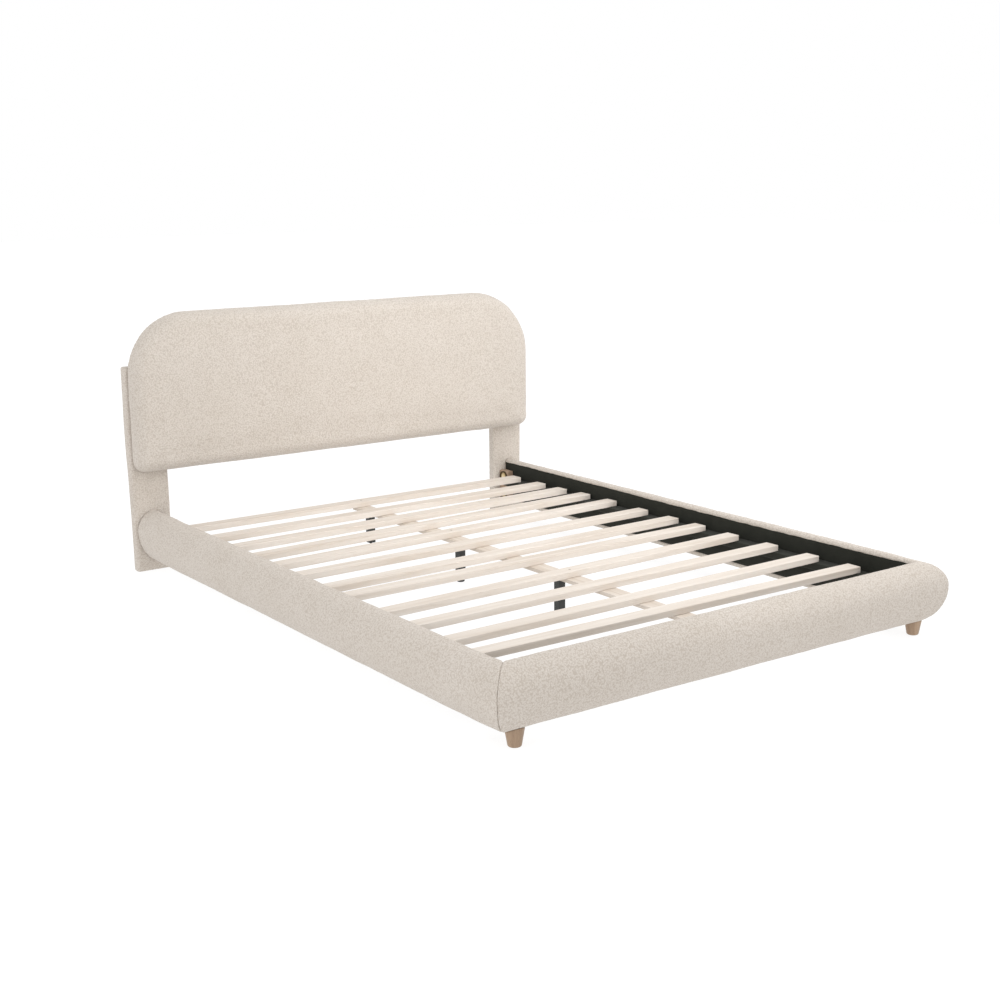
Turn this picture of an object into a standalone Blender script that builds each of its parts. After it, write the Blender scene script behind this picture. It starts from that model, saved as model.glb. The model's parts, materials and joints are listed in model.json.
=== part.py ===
"""An upholstered bed: padded headboard on two posts, three padded rails and a slatted base.

Units are metres. +Z is up, the headboard is at +Y and the foot at -Y, and +X is on the
right as seen from the foot. The origin is the bottom centre of the bed's box. Each padded
rail has a D-shaped section, drawn as u, the distance outwards from the mattress well, and z.
"""

import math

import bmesh
import bpy
from mathutils import Vector

# Whole bed
HALF_WIDTH = 0.8440
HALF_LENGTH = 1.1115
GAP = 0.0003  # clearance between pieces that touch
EDGE_ANGLE = math.radians(35)  # edges sharper than this stay crisp in shading
SIDES = (("left", -1), ("right", 1))
FORWARD = (0, -1, 0)  # from the headboard towards the foot
UP = (0, 0, 1)

# Headboard
POST_WIDTH = 0.134
POST_THICKNESS = 0.040
POST_HEIGHT = 0.732
POST_EDGE = 0.005
POST_FRONT = HALF_LENGTH - POST_THICKNESS
CLOTH_THICKNESS = 0.0015
CORE_THICKNESS = 0.015
CORE_INSET = 0.030
CLOTH_INSET = 0.015
PANEL_HALF_WIDTH = 0.8435
PANEL_THICKNESS = 0.080
PANEL_BOTTOM = 0.3615
PANEL_TOP = 0.913
PANEL_TOP_LEFT_RADIUS = 0.215
PANEL_TOP_RIGHT_RADIUS = 0.245
PANEL_LOWER_RADIUS = 0.045
PANEL_FRONT_ROLL = 0.045
PANEL_BACK_ROLL = 0.010
CORNER_STEPS = 12
ROLL_STEPS = 6
CLOTH_BACK = POST_FRONT - GAP
CORE_BACK = CLOTH_BACK - CLOTH_THICKNESS - GAP
PANEL_FRONT = CORE_BACK - PANEL_THICKNESS

# Mattress well, between the linings of the rails
WELL_HALF_WIDTH = 0.7655
RAIL_DEPTH = 0.0730
WELL_FOOT = RAIL_DEPTH - HALF_LENGTH

# Padded rails, in section
RAIL_TOP = 0.2228
RAIL_BOTTOM = 0.0373
RAIL_WIDEST_Z = 0.1485
RAIL_INNER_ROLL = 0.010
RAIL_ARC_STEPS = 20
LIP_THICKNESS = 0.0027
LIP_UPPER_EDGE = 0.1987
LIP_LOWER_EDGE = 0.0513
BOARD_THICKNESS = 0.022
BOARD_TOP = 0.2030
BOARD_BOTTOM = 0.0560
LINING_FACE = 0.0012  # the lining lies this much behind the fabric lips
LINING_THICKNESS = 0.0014
BOARD_FACE = LIP_THICKNESS + GAP

# Slatted base
SLAT_COUNT = 12
SLAT_LENGTH = 1.490
SLAT_WIDTH = 0.0526
SLAT_THICKNESS = 0.020
SLAT_TOP = 0.1695
SLAT_EDGE = 0.0018
SLAT_FIRST_Y = 0.9420
SLAT_LAST_Y = -0.8174
SLAT_GAUGE_X = 0.700
SLAT_PLACES_MM = (  # laid by hand: how far headwards at the left and right gauge, and how far to the right
    (5, 8, -6),
    (-19, 5, -4),
    (-23, 31, -2),
    (-15, 59, 10),
    (0, 66, 13),
    (8, 38, 3),
    (-8, 31, 0),
    (35, 50, -3),
    (-12, 38, -12),
    (-11, 19, -9),
    (-21, 1, -9),
    (5, -8, -7),
)
SLAT_BOTTOM = SLAT_TOP - SLAT_THICKNESS
LEDGER_DEPTH = 0.052
LEDGER_HEIGHT = 0.025
LEDGER_EDGE = 0.002
LEDGER_HEAD_Y = 1.0165
LEDGER_FOOT_Y = -0.964
BEAM_WIDTH = 0.059
BEAM_THICKNESS = 0.0128
BEAM_HEAD_Y = 0.957
BEAM_TOP = SLAT_BOTTOM - GAP
BEAM_BOTTOM = BEAM_TOP - BEAM_THICKNESS
BRACKET_PLATE = 0.002
BRACKET_SEAT = 0.036
BRACKET_HALF_WIDTH = 0.050
BRACKET_LOW_Z = 0.112

# Centre legs with levelling glides
LEG_YS = (0.878, 0.277, -0.278)
LEG_SIDE = 0.025
LEG_PLATE_SIDE = 0.046
LEG_PLATE_THICKNESS = 0.003
LEG_BOTTOM = 0.021
LEG_BORE = 0.0043
LEG_BORE_DEPTH = 0.052
GLIDE_RADIUS = 0.014
GLIDE_PAD = 0.008
GLIDE_EDGE = 0.002
STUD_RADIUS = 0.004
STUD_TOP = 0.052

# Head joints: an end block in each side rail, bolted through the post
BLOCK_WIDTH = 0.028
BLOCK_DEPTH = 0.054
BLOCK_TOP = 0.178
BLOCK_BOTTOM = 0.060
BLOCK_EDGE = 0.002
BARREL_RADIUS = 0.006
BARREL_LENGTH = 0.024
NUT_FROM_POST = 0.0300
CAP_HEIGHT = 0.008
CAP_RADIUS = 0.0225
CAP_DISH = 0.003  # how far the floor round the dome lies behind the cap's rim
CAP_DOME_RADIUS = 0.0140
CAP_DOME_HEIGHT = 0.005
CAP_RIM_WIDTH = 0.003
CAP_STEPS = 5
BOLT_RADIUS = 0.003
BOLT_HEAD_RADIUS = 0.0075
BOLT_HEAD_HEIGHT = 0.004
HEAD_RECESS_RADIUS = 0.0090
HEAD_RECESS_DEPTH = 0.0055
BOLT_HOLE = BOLT_RADIUS + GAP
RAIL_BOLT_ZS = {"upper": 0.155, "lower": 0.085}
PANEL_BOLT_ZS = {"upper": 0.660, "lower": 0.450}
PANEL_BOLT_REACH = 0.0127  # into the core
RAIL_BOLT_X = WELL_HALF_WIDTH - BLOCK_WIDTH / 2
RAIL_BOLT_PAST_NUT = 0.012
SOCKET_DEPTH = 0.026
ROUND_STEPS = 16

# Foot joints: a block in each foot corner, bolted into both rails
CORNER_BLOCK_SIDE = 0.072
CORNER_BLOCK_BOTTOM = 0.060
CORNER_BLOCK_TOP = 0.118
CORNER_BOLT_OFFSET = 0.036
CORNER_BOLT_SIDE_Z = 0.074
CORNER_BOLT_FOOT_Z = 0.104
CORNER_BOLT_REACH = 0.020

# Front feet
FOOT_X = 0.746
FOOT_U = 0.0163
FOOT_HEIGHT = 0.0368
FOOT_TOP_RADIUS = 0.0240
FOOT_BOTTOM_RADIUS = 0.0185
FOOT_EDGE = 0.006
FOOT_STEPS = 28
FOOT_STUD_DEPTH = 0.015
FOOT_STUD_REACH = 0.038


def clear_scene():
    for thing in list(bpy.data.objects):
        bpy.data.objects.remove(thing, do_unlink=True)


def material(name, colour, roughness, metallic=0.0):
    made = bpy.data.materials.new(name)
    made.use_nodes = True
    shader = made.node_tree.nodes["Principled BSDF"]
    shader.inputs["Base Color"].default_value = (*colour, 1.0)
    shader.inputs["Roughness"].default_value = roughness
    shader.inputs["Metallic"].default_value = metallic
    return made


def finish_mesh(name, shape, look):
    """Turns a bmesh into an object with its faces pointing out and its round parts smooth."""
    bmesh.ops.recalc_face_normals(shape, faces=shape.faces)
    mesh = bpy.data.meshes.new(name)
    shape.to_mesh(mesh)
    shape.free()
    mesh.materials.append(look)
    mesh.shade_smooth()
    mesh.set_sharp_from_angle(angle=EDGE_ANGLE)
    thing = bpy.data.objects.new(name, mesh)
    bpy.context.scene.collection.objects.link(thing)
    return thing


def block(name, low, high, look, edge=0.0, edge_steps=2):
    """A box between two corners, with rounded edges if edge is given."""
    low, high = Vector(low), Vector(high)
    shape = bmesh.new()
    bmesh.ops.create_cube(shape, size=1.0)
    size = high - low
    bmesh.ops.scale(shape, vec=size, verts=shape.verts)
    bmesh.ops.translate(shape, vec=(low + high) / 2, verts=shape.verts)
    if edge:
        bmesh.ops.bevel(
            shape, geom=shape.edges[:], offset=edge, segments=edge_steps, profile=0.5, affect="EDGES"
        )
    return finish_mesh(name, shape, look)


def loft(name, loops, look):
    """A closed solid through loops with equal numbers of points, capped at both ends."""
    shape = bmesh.new()
    rings = [[shape.verts.new(point) for point in loop] for loop in loops]
    for ring, following in zip(rings, rings[1:]):
        for i in range(len(ring)):
            j = (i + 1) % len(ring)
            shape.faces.new((ring[i], ring[j], following[j], following[i]))
    caps = [shape.faces.new(rings[0]), shape.faces.new(list(reversed(rings[-1])))]
    for cap in caps:
        cap.normal_update()
    bmesh.ops.triangulate(shape, faces=caps)
    return finish_mesh(name, shape, look)


def turned(name, profile, start, axis, look, steps=ROUND_STEPS):
    """A solid of revolution: profile holds (distance along axis, radius) from one end to the other."""
    along = Vector(axis).normalized()
    turn = along.to_track_quat("Z", "Y").to_matrix()
    loops = []
    for distance, radius in profile:
        ring = []
        for i in range(steps):
            angle = 2 * math.pi * i / steps
            point = turn @ Vector((radius * math.cos(angle), radius * math.sin(angle), distance))
            ring.append(Vector(start) + point)
        loops.append(ring)
    return loft(name, loops, look)


def cut(target, cutter):
    """Takes the cutter out of the target with a Boolean, and keeps the cutter as a hidden guide."""
    cutter.hide_render = True
    cutter.display_type = "WIRE"
    hole = target.modifiers.new("cut by " + cutter.name, "BOOLEAN")
    hole.operation = "DIFFERENCE"
    hole.solver = "EXACT"
    hole.object = cutter


def join(target, other):
    """Unites another closed shape with the target, and keeps it as a hidden guide."""
    cut(target, other)
    target.modifiers[-1].operation = "UNION"


def drill(target, start, axis, length, radius):
    """A round hole from start along axis."""
    name = f"drill for {target.name} {len(target.modifiers)}"
    look = target.data.materials[0]
    cut(target, turned(name, ((0, radius), (length, radius)), start, axis, look))


def panel_outline(inset, y):
    """The headboard's outline, moved inwards by inset: large top corners, small lower ones."""
    half = PANEL_HALF_WIDTH - inset
    top, bottom = PANEL_TOP - inset, PANEL_BOTTOM + inset
    left_radius = PANEL_TOP_LEFT_RADIUS - inset
    right_radius = PANEL_TOP_RIGHT_RADIUS - inset
    low_radius = max(PANEL_LOWER_RADIUS - inset, PANEL_LOWER_RADIUS / 3)
    corners = (
        (half - low_radius, bottom + low_radius, low_radius, -90),
        (half - right_radius, top - right_radius, right_radius, 0),
        (left_radius - half, top - left_radius, left_radius, 90),
        (low_radius - half, bottom + low_radius, low_radius, 180),
    )
    points = []
    for x, z, radius, first in corners:
        for i in range(CORNER_STEPS + 1):
            angle = math.radians(first + 90 * i / CORNER_STEPS)
            points.append((x + radius * math.cos(angle), y, z + radius * math.sin(angle)))
    return points


def quarter_roll(radius):
    """Pairs (inset, distance from the face) round a quarter circle, from the side to the face."""
    for i in range(ROLL_STEPS + 1):
        angle = math.pi / 2 * i / ROLL_STEPS
        yield radius * (1 - math.cos(angle)), radius * (1 - math.sin(angle))


def build_headboard(looks):
    loops = [panel_outline(inset, CORE_BACK - away) for inset, away in quarter_roll(PANEL_BACK_ROLL)]
    loops.reverse()
    loops += [panel_outline(inset, PANEL_FRONT + away) for inset, away in quarter_roll(PANEL_FRONT_ROLL)]
    cushion = loft("headboard_cushion", loops, looks["fabric"])
    pocket_floor = CORE_BACK - CORE_THICKNESS - GAP
    pocket = [panel_outline(CORE_INSET, y) for y in (pocket_floor, POST_FRONT)]
    cut(cushion, loft("pocket for the core", pocket, looks["fabric"]))

    core_loops = [panel_outline(CORE_INSET + GAP, y) for y in (CORE_BACK, CORE_BACK - CORE_THICKNESS)]
    core = loft("headboard_core", core_loops, looks["plywood"])
    cloth_loops = [panel_outline(CLOTH_INSET, y) for y in (CLOTH_BACK, CLOTH_BACK - CLOTH_THICKNESS)]
    cloth = loft("headboard_back_cloth", cloth_loops, looks["lining"])

    for side_name, side in SIDES:
        inner, outer = side * (HALF_WIDTH - POST_WIDTH), side * HALF_WIDTH
        low = (min(inner, outer), POST_FRONT, 0)
        high = (max(inner, outer), HALF_LENGTH, POST_HEIGHT)
        post = block(f"headboard_post_{side_name}", low, high, looks["fabric"], POST_EDGE, 3)
        x = side * (HALF_WIDTH - POST_WIDTH / 2)
        reach = HALF_LENGTH - HEAD_RECESS_DEPTH - CORE_BACK + PANEL_BOLT_REACH
        sheets_depth = POST_FRONT - CORE_BACK + CORE_THICKNESS + GAP
        for level, z in PANEL_BOLT_ZS.items():
            drill_through_post(post, x, z)
            for sheet in (cloth, core):
                drill(sheet, (x, POST_FRONT, z), FORWARD, sheets_depth, BOLT_HOLE)
            post_bolt(f"panel_bolt_{side_name}_{level}", x, z, reach, looks["steel"])
        for z in RAIL_BOLT_ZS.values():
            drill_through_post(post, side * RAIL_BOLT_X, z)


def drill_through_post(post, x, z):
    """A bolt hole with a recess for the bolt's head in the post's back."""
    start = (x, HALF_LENGTH + GAP, z)
    drill(post, start, FORWARD, POST_THICKNESS + 2 * GAP, BOLT_HOLE)
    drill(post, start, FORWARD, HEAD_RECESS_DEPTH + GAP, HEAD_RECESS_RADIUS)


def bolt_profile(reach):
    """A round head with a softened rim, then the shank: distances run from the head's outer face."""
    rim = BOLT_HEAD_HEIGHT * 0.3
    return (
        (0, BOLT_HEAD_RADIUS - rim),
        (rim, BOLT_HEAD_RADIUS),
        (BOLT_HEAD_HEIGHT, BOLT_HEAD_RADIUS),
        (BOLT_HEAD_HEIGHT, BOLT_RADIUS),
        (BOLT_HEAD_HEIGHT + reach, BOLT_RADIUS),
    )


def post_bolt(name, x, z, reach, look):
    """A bolt whose head sits on the bottom of its recess in the post's back."""
    seat = HALF_LENGTH - HEAD_RECESS_DEPTH + GAP
    turned(name, bolt_profile(reach), (x, seat + BOLT_HEAD_HEIGHT, z), FORWARD, look)


def pad_section():
    """The rail's padding in section: a D that wraps round the board, with a lip at each inner edge."""
    upper, lower = RAIL_TOP - RAIL_WIDEST_Z, RAIL_WIDEST_Z - RAIL_BOTTOM
    first = math.acos(RAIL_INNER_ROLL / RAIL_DEPTH)
    points = [(0, LIP_LOWER_EDGE), (0, RAIL_BOTTOM + RAIL_INNER_ROLL / 2)]
    points.append((RAIL_INNER_ROLL / 3, RAIL_BOTTOM + RAIL_INNER_ROLL / 6))
    for i in range(RAIL_ARC_STEPS + 1):
        angle = -first + 2 * first * i / RAIL_ARC_STEPS
        height = upper if angle > 0 else lower
        points.append((RAIL_DEPTH * math.cos(angle), RAIL_WIDEST_Z + height * math.sin(angle)))
    points.append((RAIL_INNER_ROLL / 3, RAIL_TOP - RAIL_INNER_ROLL / 4))
    points.append((0, RAIL_TOP - RAIL_INNER_ROLL))
    points.append((0, LIP_UPPER_EDGE))
    channel_out = BOARD_FACE + BOARD_THICKNESS + GAP
    channel_top, channel_bottom = BOARD_TOP + GAP, BOARD_BOTTOM - GAP
    points += [
        (LIP_THICKNESS, LIP_UPPER_EDGE),
        (LIP_THICKNESS, channel_top),
        (channel_out, channel_top),
        (channel_out, channel_bottom),
        (LIP_THICKNESS, channel_bottom),
        (LIP_THICKNESS, LIP_LOWER_EDGE),
    ]
    return points


def strip_section(near, far, bottom, top):
    return [(near, bottom), (far, bottom), (far, top), (near, top)]


def side_sweep(name, section, side, look):
    """Runs a section along a side rail, from the post to the mitre at the foot corner."""
    head = [(side * (WELL_HALF_WIDTH + u), POST_FRONT - GAP, z) for u, z in section]
    foot = [(side * (WELL_HALF_WIDTH + u), WELL_FOOT - u + GAP, z) for u, z in section]
    return loft(name, [head, foot], look)


def foot_sweep(name, section, look):
    """Runs a section along the foot rail, between its two mitres."""
    loops = [
        [(side * (WELL_HALF_WIDTH + u), WELL_FOOT - u, z) for u, z in section] for _, side in SIDES
    ]
    return loft(name, loops, look)


def rail_sections():
    board_back = BOARD_FACE + BOARD_THICKNESS
    lining_back = LINING_FACE + LINING_THICKNESS
    return {
        "pad": (pad_section(), "fabric"),
        "board": (strip_section(BOARD_FACE, board_back, BOARD_BOTTOM, BOARD_TOP), "plywood"),
        "lining": (
            strip_section(LINING_FACE, lining_back, LIP_LOWER_EDGE + GAP, LIP_UPPER_EDGE - GAP),
            "lining",
        ),
    }


def build_rails(looks):
    """The three rails. It returns their pieces, for the bolts and studs that pass through them."""
    pieces = {}
    for layer, (section, look) in rail_sections().items():
        for side_name, side in SIDES:
            name = f"side_rail_{side_name}_{layer}"
            pieces[side_name, layer] = side_sweep(name, section, side, looks[look])
        pieces["foot", layer] = foot_sweep(f"foot_rail_{layer}", section, looks[look])
    face = WELL_HALF_WIDTH + LINING_FACE - GAP
    for side_name, side in SIDES:
        xs = sorted((side * face, side * (face - LEDGER_DEPTH)))
        low = (xs[0], LEDGER_FOOT_Y, SLAT_BOTTOM - GAP - LEDGER_HEIGHT)
        high = (xs[1], LEDGER_HEAD_Y, SLAT_BOTTOM - GAP)
        block(f"side_rail_{side_name}_ledger", low, high, looks["lining"], LEDGER_EDGE, 2)
    return pieces


def nut_shape():
    """A capped barrel nut: a dished cap with a dome in it, then the barrel that goes into the block."""
    profile = []
    for i in range(1, CAP_STEPS + 1):
        angle = math.pi / 2 * i / CAP_STEPS
        profile.append((CAP_DOME_HEIGHT * (1 - math.cos(angle)), CAP_DOME_RADIUS * math.sin(angle)))
    rim = CAP_DOME_HEIGHT - CAP_DISH
    rim_edge = CAP_RIM_WIDTH / 3
    profile.append((CAP_DOME_HEIGHT, CAP_RADIUS - CAP_RIM_WIDTH - rim_edge))
    profile.append((rim, CAP_RADIUS - CAP_RIM_WIDTH))
    profile.append((rim, CAP_RADIUS - rim_edge))
    profile.append((rim + rim_edge, CAP_RADIUS))
    profile.append((CAP_HEIGHT, CAP_RADIUS))
    return (*profile, (CAP_HEIGHT, BARREL_RADIUS), (CAP_HEIGHT + BARREL_LENGTH, BARREL_RADIUS))


def build_head_joints(looks):
    """An end block in each side rail, with barrel nuts that take the bolts from the post's back."""
    face = WELL_HALF_WIDTH + LINING_FACE - GAP
    block_back = POST_FRONT - GAP
    centre_y = block_back - NUT_FROM_POST
    reach = HALF_LENGTH - HEAD_RECESS_DEPTH - centre_y + RAIL_BOLT_PAST_NUT
    bore_depth = block_back - centre_y + RAIL_BOLT_PAST_NUT + 2 * GAP
    nut_profile = nut_shape()
    for side_name, side in SIDES:
        outwards = (side, 0, 0)
        inner_x = side * (face - BLOCK_WIDTH)
        xs = sorted((side * face, inner_x))
        low = (xs[0], block_back - BLOCK_DEPTH, BLOCK_BOTTOM)
        high = (xs[1], block_back, BLOCK_TOP)
        end_block = block(f"rail_end_block_{side_name}", low, high, looks["block_wood"], BLOCK_EDGE, 2)
        for level, z in RAIL_BOLT_ZS.items():
            bolt_x = side * RAIL_BOLT_X
            drill(end_block, (bolt_x, block_back + GAP, z), FORWARD, bore_depth, BOLT_HOLE)
            mouth = (inner_x - side * GAP, centre_y, z)
            drill(end_block, mouth, outwards, SOCKET_DEPTH, BARREL_RADIUS + GAP)
            name = f"barrel_nut_{side_name}_{level}"
            tip = (inner_x - side * (CAP_HEIGHT + GAP), centre_y, z)
            nut = turned(name, nut_profile, tip, outwards, looks["brass"])
            drill(nut, (bolt_x, centre_y + 2 * BARREL_RADIUS, z), FORWARD, 4 * BARREL_RADIUS, BOLT_HOLE)
            post_bolt(f"rail_bolt_{side_name}_{level}", bolt_x, z, reach, looks["steel"])


def build_foot_joints(rails, looks):
    """A block in each foot corner, with one bolt into the side rail's board and one into the foot's."""
    side_face = WELL_HALF_WIDTH + LINING_FACE - GAP
    foot_face = WELL_FOOT - LINING_FACE + GAP
    for side_name, side in SIDES:
        block_x = side * (side_face - CORNER_BLOCK_SIDE)
        block_y = foot_face + CORNER_BLOCK_SIDE
        xs = sorted((side * side_face, block_x))
        low = (xs[0], foot_face, CORNER_BLOCK_BOTTOM)
        high = (xs[1], block_y, CORNER_BLOCK_TOP)
        corner = block(f"corner_block_{side_name}", low, high, looks["block_wood"], BLOCK_EDGE, 2)

        start = (block_x, foot_face + CORNER_BOLT_OFFSET, CORNER_BOLT_SIDE_Z)
        layers = (corner, rails[side_name, "lining"], rails[side_name, "board"])
        corner_bolt(f"corner_bolt_{side_name}_side", start, (side, 0, 0), layers, looks)
        start = (side * (side_face - CORNER_BOLT_OFFSET), block_y, CORNER_BOLT_FOOT_Z)
        layers = (corner, rails["foot", "lining"], rails["foot", "board"])
        corner_bolt(f"corner_bolt_{side_name}_foot", start, FORWARD, layers, looks)


def corner_bolt(name, start, axis, layers, looks):
    """A bolt with its head against the corner block at start, and its hole through each layer."""
    reach = CORNER_BLOCK_SIDE + CORNER_BOLT_REACH
    start, along = Vector(start), Vector(axis)
    for layer in layers:
        drill(layer, start - along * GAP, axis, reach + 3 * GAP, BOLT_HOLE)
    head = start - along * (BOLT_HEAD_HEIGHT + GAP)
    turned(name, bolt_profile(reach), head, axis, looks["steel"])


def build_feet(rails, looks):
    """Turned feet under the foot rail, each held by a stud that runs up into the rail's board."""
    foot_y = WELL_FOOT - FOOT_U
    profile = []
    for i in range(ROLL_STEPS + 1):
        angle = math.pi / 2 * i / ROLL_STEPS
        radius = FOOT_BOTTOM_RADIUS - FOOT_EDGE * (1 - math.sin(angle))
        profile.append((FOOT_EDGE * (1 - math.cos(angle)), radius))
    profile.append((FOOT_HEIGHT, FOOT_TOP_RADIUS))
    stud_low = FOOT_HEIGHT - FOOT_STUD_DEPTH
    stud_length = FOOT_STUD_DEPTH + FOOT_STUD_REACH
    for side_name, side in SIDES:
        x = side * FOOT_X
        name = f"wooden_foot_{side_name}"
        foot = turned(name, profile, (x, foot_y, 0), UP, looks["foot_wood"], FOOT_STEPS)
        for target in (foot, rails["foot", "pad"], rails["foot", "board"]):
            drill(target, (x, foot_y, stud_low - GAP), UP, stud_length + 2 * GAP, STUD_RADIUS + GAP)
        stud = ((0, STUD_RADIUS), (stud_length, STUD_RADIUS))
        turned(f"foot_stud_{side_name}", stud, (x, foot_y, stud_low), UP, looks["steel"])


def build_slats(look):
    pitch = (SLAT_FIRST_Y - SLAT_LAST_Y) / (SLAT_COUNT - 1)
    low = (-SLAT_LENGTH / 2, -SLAT_WIDTH / 2, -SLAT_THICKNESS)
    high = (SLAT_LENGTH / 2, SLAT_WIDTH / 2, 0)
    for i, (left_mm, right_mm, across_mm) in enumerate(SLAT_PLACES_MM):
        slat = block(f"slat_{i + 1:02d}", low, high, look, SLAT_EDGE, 2)
        across = across_mm / 1000
        skew = (right_mm - left_mm) / 1000 / (2 * SLAT_GAUGE_X)
        nudge = (left_mm + right_mm) / 2000 + skew * across
        slat.location = (across, SLAT_FIRST_Y - i * pitch + nudge, SLAT_TOP)
        slat.rotation_euler.z = math.atan(skew)


def build_base(looks):
    build_slats(looks["slat_wood"])

    lining_face = WELL_FOOT - LINING_FACE + GAP
    plate_front = lining_face + BRACKET_PLATE
    beam_foot = plate_front + GAP
    low = (-BEAM_WIDTH / 2, beam_foot, BEAM_BOTTOM)
    high = (BEAM_WIDTH / 2, BEAM_HEAD_Y, BEAM_TOP)
    block("centre_beam", low, high, looks["slat_wood"], LEDGER_EDGE, 2)

    plate_low = (-BRACKET_HALF_WIDTH, lining_face, BRACKET_LOW_Z)
    plate_high = (BRACKET_HALF_WIDTH, plate_front, BEAM_TOP)
    bracket = block("beam_bracket", plate_low, plate_high, looks["black_metal"])
    inner = BEAM_WIDTH / 2 + GAP
    outer = inner + BRACKET_PLATE
    seat_top = BEAM_BOTTOM - GAP
    channel = [
        (-outer, BEAM_TOP),
        (-outer, seat_top - BRACKET_PLATE),
        (outer, seat_top - BRACKET_PLATE),
        (outer, BEAM_TOP),
        (inner, BEAM_TOP),
        (inner, seat_top),
        (-inner, seat_top),
        (-inner, BEAM_TOP),
    ]
    start_y, end_y = lining_face + BRACKET_PLATE / 2, plate_front + BRACKET_SEAT
    loops = [[(x, y, z) for x, z in channel] for y in (start_y, end_y)]
    join(bracket, loft("seat of the beam bracket", loops, looks["black_metal"]))


def build_centre_legs(looks):
    """Square legs under the beam, each with a levelling glide that screws up into it."""
    top = BEAM_BOTTOM - GAP
    for number, y in enumerate(LEG_YS, start=1):
        half = LEG_SIDE / 2
        low, high = (-half, y - half, LEG_BOTTOM), (half, y + half, top)
        leg = block(f"centre_leg_{number}", low, high, looks["black_metal"])
        plate_half = LEG_PLATE_SIDE / 2
        plate_low = (-plate_half, y - plate_half, top - LEG_PLATE_THICKNESS)
        plate_high = (plate_half, y + plate_half, top)
        join(leg, block(f"plate of centre leg {number}", plate_low, plate_high, looks["black_metal"]))
        drill(leg, (0, y, LEG_BOTTOM - GAP), UP, LEG_BORE_DEPTH, LEG_BORE)

        glide_profile = (
            (0, GLIDE_RADIUS - GLIDE_EDGE),
            (GLIDE_EDGE, GLIDE_RADIUS),
            (GLIDE_PAD - GLIDE_EDGE, GLIDE_RADIUS),
            (GLIDE_PAD, GLIDE_RADIUS - GLIDE_EDGE),
            (GLIDE_PAD, STUD_RADIUS),
            (STUD_TOP, STUD_RADIUS),
        )
        glide = turned(f"levelling_glide_{number}", glide_profile, (0, 0, 0), UP, looks["glide"])
        glide.location = (0, y, 0)


def main():
    clear_scene()
    looks = {
        "fabric": material("cream boucle", (0.72, 0.65, 0.57), 0.95),
        "lining": material("black lining", (0.03, 0.03, 0.03), 0.90),
        "plywood": material("plywood", (0.60, 0.44, 0.28), 0.65),
        "slat_wood": material("whitewashed wood", (0.80, 0.72, 0.63), 0.60),
        "block_wood": material("brown hardwood", (0.25, 0.14, 0.08), 0.55),
        "foot_wood": material("oiled beech", (0.50, 0.32, 0.19), 0.45),
        "steel": material("zinc-plated steel", (0.55, 0.55, 0.56), 0.35, 1.0),
        "brass": material("brass", (0.72, 0.53, 0.28), 0.30, 1.0),
        "black_metal": material("black powder coat", (0.02, 0.02, 0.02), 0.45),
        "glide": material("black plastic", (0.04, 0.04, 0.04), 0.50),
    }
    build_headboard(looks)
    rails = build_rails(looks)
    build_head_joints(looks)
    build_foot_joints(rails, looks)
    build_feet(rails, looks)
    build_base(looks)
    build_centre_legs(looks)


main()
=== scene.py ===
"""The looks of the upholstered bed: padded headboard, posts and rails, lining, slats, feet and fittings.

Positions are in metres in the bed's own frame: +Z up, headboard at +Y, +X right as seen from
the foot. The origin is on the floor under the middle of the bed.
"""

import json
import math

import bmesh
import bpy
import numpy as np
from mathutils import Matrix, Vector


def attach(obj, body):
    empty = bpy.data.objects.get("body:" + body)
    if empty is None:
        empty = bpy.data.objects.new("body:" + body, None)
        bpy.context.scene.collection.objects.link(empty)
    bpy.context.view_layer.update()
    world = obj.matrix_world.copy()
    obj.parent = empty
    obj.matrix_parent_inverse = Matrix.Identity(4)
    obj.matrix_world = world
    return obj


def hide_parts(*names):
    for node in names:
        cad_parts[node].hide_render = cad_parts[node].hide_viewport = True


FRAME_BODY = "bed_frame"
SIDES = (("left", -1), ("right", 1))

# Shape of the bed, the same as in the CAD model
HALF_WIDTH = 0.8440
HALF_LENGTH = 1.1115
GAP = 0.0003
POST_WIDTH = 0.134
POST_THICKNESS = 0.040
POST_FRONT = HALF_LENGTH - POST_THICKNESS
POST_HEIGHT = 0.732
CLOTH_BACK = POST_FRONT - GAP
CLOTH_THICKNESS = 0.0015
CLOTH_INSET = 0.015
PANEL_BACK = CLOTH_BACK - CLOTH_THICKNESS - GAP
PANEL_THICKNESS = 0.080
PANEL_HALF_WIDTH = 0.8435
PANEL_BOTTOM = 0.3615
PANEL_TOP = 0.913
PANEL_TOP_LEFT_RADIUS = 0.215
PANEL_TOP_RIGHT_RADIUS = 0.245
PANEL_LOWER_RADIUS = 0.045
WELL_HALF_WIDTH = 0.7655
RAIL_DEPTH = 0.0730
WELL_FOOT = RAIL_DEPTH - HALF_LENGTH
RAIL_TOP = 0.2228
RAIL_BOTTOM = 0.0373
RAIL_WIDEST_Z = 0.1485
RAIL_ROLL = 0.010
LIP_THICKNESS = 0.0027
LIP_UPPER_EDGE = 0.1987
LIP_LOWER_EDGE = 0.0570
LINING_FACE = 0.0012
LINING_THICKNESS = 0.0014
CHANNEL_OUT = 0.0253
CHANNEL_TOP = 0.2033
CHANNEL_BOTTOM = 0.0557
SLAT_TOP = 0.1695
SLAT_BOTTOM = 0.1495
LEDGER_DEPTH = 0.052
LEDGER_HEIGHT = 0.025
LEDGER_HEAD_Y = 1.0165
LEDGER_FOOT_Y = -0.964
FOOT_X = 0.746
FOOT_Y = WELL_FOOT - 0.0163
FOOT_HEIGHT = 0.0368
FOOT_TOP_RADIUS = 0.0240
FOOT_BOTTOM_RADIUS = 0.0185
RAIL_BOLT_X = WELL_HALF_WIDTH - 0.014
PANEL_BOLT_X = HALF_WIDTH - POST_WIDTH / 2
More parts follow.
